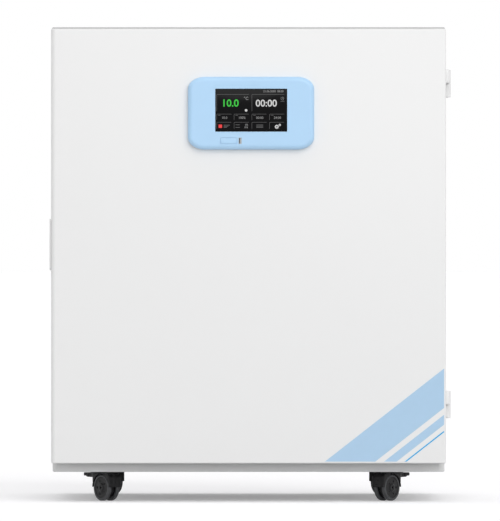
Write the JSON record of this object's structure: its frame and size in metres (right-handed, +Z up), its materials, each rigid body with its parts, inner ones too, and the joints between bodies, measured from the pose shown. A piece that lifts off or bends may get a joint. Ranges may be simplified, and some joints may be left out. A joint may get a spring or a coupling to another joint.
{
  "type": "refrigerated incubator",
  "caption": "Floor-standing cooling incubator: white cabinet on hooded casters, solid door with a light blue touch panel, inner glass door and sliding shelves.",
  "frame": {"origin": "on the floor under the centre of the plan", "axes": "+Z up; the door faces -Y; +X is to the right of someone who faces the door"},
  "size_m": [0.8549, 0.8, 1.0124],
  "materials": {
    "white_coat": "satin",
    "grey_coat": "satin",
    "foam": "matte",
    "stainless": "satin",
    "zinc": "satin",
    "aluminium": "satin",
    "white_plastic": "satin",
    "ceramic_module": "satin",
    "blue_plastic": "satin",
    "screen_glass": "gloss",
    "circuit_board": "satin",
    "black_plastic": "satin",
    "gasket_rubber": "matte",
    "silicone": "matte",
    "clear_glass": "gloss",
    "wheel_tyre": "satin"
  },
  "bodies": {
    "cabinet": {"air_duct": "stainless", "base_pan": "grey_coat", "cabinet_foam": "foam", "caster_plate_front_left": "zinc", "caster_plate_front_right": "zinc", "caster_plate_rear_left": "zinc", "caster_plate_rear_right": "zinc", "chamber_fan_motor": "black_plastic", "chamber_liner": "stainless", "cold_heatsink": "aluminium", "control_board": "circuit_board", "front_frame": "white_plastic", "hinge_block_lower": "white_plastic", "hinge_block_upper": "white_plastic", "hinge_pin_lower": "stainless", "hinge_pin_upper": "stainless", "hot_heatsink": "aluminium", "inner_door_seal": "silicone", "outer_case": "white_coat", "peltier_module": "ceramic_module", "port_sleeve": "white_plastic", "power_inlet": "black_plastic", "power_supply": "zinc", "rear_cover": "white_coat", "rear_fan_frame": "black_plastic", "rear_panel": "zinc", "shelf_ladder_left": "stainless", "shelf_ladder_right": "stainless", "temperature_probe": "stainless"},
    "door": {"door_skin": "white_coat", "door_foam": "foam", "door_liner": "white_plastic", "door_gasket": "gasket_rubber", "door_handle": "white_plastic", "control_housing": "blue_plastic", "touch_screen": "screen_glass", "display_board": "circuit_board", "hinge_leaf_upper": "white_plastic", "hinge_leaf_lower": "white_plastic"},
    "usb_flap": {"usb_flap": "blue_plastic"},
    "glass_door": {"glass_pane": "clear_glass", "glass_pivot_upper": "stainless", "glass_pivot_lower": "stainless", "glass_pull": "stainless"},
    "shelf_lower": {"shelf_lower": "stainless"},
    "shelf_upper": {"shelf_upper": "stainless"},
    "chamber_fan": {"chamber_fan_rotor": "black_plastic"},
    "rear_fan": {"rear_fan_rotor": "black_plastic"},
    "power_rocker": {"power_rocker": "black_plastic"},
    "port_plug": {"port_plug": "silicone"},
    "caster_front_left": {"caster_hood_front_left": "black_plastic"},
    "wheels_front_left": {"wheels_front_left": "wheel_tyre"},
    "brake_pedal_front_left": {"brake_pedal_front_left": "black_plastic"},
    "caster_front_right": {"caster_hood_front_right": "black_plastic"},
    "wheels_front_right": {"wheels_front_right": "wheel_tyre"},
    "brake_pedal_front_right": {"brake_pedal_front_right": "black_plastic"},
    "caster_rear_left": {"caster_hood_rear_left": "black_plastic"},
    "wheels_rear_left": {"wheels_rear_left": "wheel_tyre"},
    "caster_rear_right": {"caster_hood_rear_right": "black_plastic"},
    "wheels_rear_right": {"wheels_rear_right": "wheel_tyre"}
  },
  "joints": [
    {"name": "door_swing", "type": "hinge", "parent": "cabinet", "child": "door", "pos_m": [0.426, -0.314, 0.20705], "axis": [0, 0, 1], "range_deg": [0, 115]},
    {"name": "glass_door_swing", "type": "hinge", "parent": "cabinet", "child": "glass_door", "pos_m": [0.362, -0.299, 0.16185], "axis": [0, 0, 1], "range_deg": [0, 115]},
    {"name": "shelf_lower_slide", "type": "slide", "parent": "cabinet", "child": "shelf_lower", "axis": [0, -1, 0], "range_m": [0, 0.26]},
    {"name": "shelf_upper_slide", "type": "slide", "parent": "cabinet", "child": "shelf_upper", "axis": [0, -1, 0], "range_m": [0, 0.26]},
    {"name": "usb_flap_turn", "type": "hinge", "parent": "door", "child": "usb_flap", "pos_m": [-0.0423, -0.39925, 0.763], "axis": [1, 0, 0], "range_deg": [0, 100]},
    {"name": "chamber_fan_spin", "type": "hinge", "parent": "cabinet", "child": "chamber_fan", "pos_m": [0, 0.1728, 0.76645], "axis": [0, 1, 0], "continuous": true},
    {"name": "rear_fan_spin", "type": "hinge", "parent": "cabinet", "child": "rear_fan", "pos_m": [0, 0.3154, 0.53645], "axis": [0, 1, 0], "continuous": true},
    {"name": "power_rocker_tip", "type": "hinge", "parent": "cabinet", "child": "power_rocker", "pos_m": [-0.3, 0.388, 0.19535], "axis": [1, 0, 0], "range_deg": [0, 20]},
    {"name": "port_plug_pull", "type": "slide", "parent": "cabinet", "child": "port_plug", "axis": [0, 1, 0], "range_m": [0, 0.08]},
    {"name": "swivel_front_left", "type": "hinge", "parent": "cabinet", "child": "caster_front_left", "pos_m": [-0.3159, -0.23, 0.06285], "axis": [0, 0, 1], "continuous": true},
    {"name": "roll_front_left", "type": "hinge", "parent": "caster_front_left", "child": "wheels_front_left", "pos_m": [-0.304, -0.24608, 0.02825], "axis": [0.8039, 0.5948, 0], "continuous": true},
    {"name": "brake_press_left", "type": "hinge", "parent": "caster_front_left", "child": "brake_pedal_front_left", "pos_m": [-0.32601, -0.21633, 0.05465], "axis": [-0.8039, -0.5948, 0], "range_deg": [0, 14]},
    {"name": "swivel_front_right", "type": "hinge", "parent": "cabinet", "child": "caster_front_right", "pos_m": [0.3079, -0.23, 0.06285], "axis": [0, 0, 1], "continuous": true},
    {"name": "roll_front_right", "type": "hinge", "parent": "caster_front_right", "child": "wheels_front_right", "pos_m": [0.296, -0.24608, 0.02825], "axis": [0.8039, -0.5948, 0], "continuous": true},
    {"name": "brake_press_right", "type": "hinge", "parent": "caster_front_right", "child": "brake_pedal_front_right", "pos_m": [0.31801, -0.21633, 0.05465], "axis": [-0.8039, 0.5948, 0], "range_deg": [0, 14]},
    {"name": "swivel_rear_left", "type": "hinge", "parent": "cabinet", "child": "caster_rear_left", "pos_m": [-0.3159, 0.312, 0.06285], "axis": [0, 0, 1], "continuous": true},
    {"name": "roll_rear_left", "type": "hinge", "parent": "caster_rear_left", "child": "wheels_rear_left", "pos_m": [-0.304, 0.29592, 0.02825], "axis": [0.8039, 0.5948, 0], "continuous": true},
    {"name": "swivel_rear_right", "type": "hinge", "parent": "cabinet", "child": "caster_rear_right", "pos_m": [0.3079, 0.312, 0.06285], "axis": [0, 0, 1], "continuous": true},
    {"name": "roll_rear_right", "type": "hinge", "parent": "caster_rear_right", "child": "wheels_rear_right", "pos_m": [0.296, 0.29592, 0.02825], "axis": [0.8039, -0.5948, 0], "continuous": true}
  ],
  "couplings": [
    {"joint": "glass_door_swing", "follows": "door_swing", "ratio": 1},
    {"joint": "shelf_lower_slide", "follows": "door_swing", "m_per_rad": 0.07},
    {"joint": "shelf_upper_slide", "follows": "door_swing", "m_per_rad": 0.07}
  ]
}
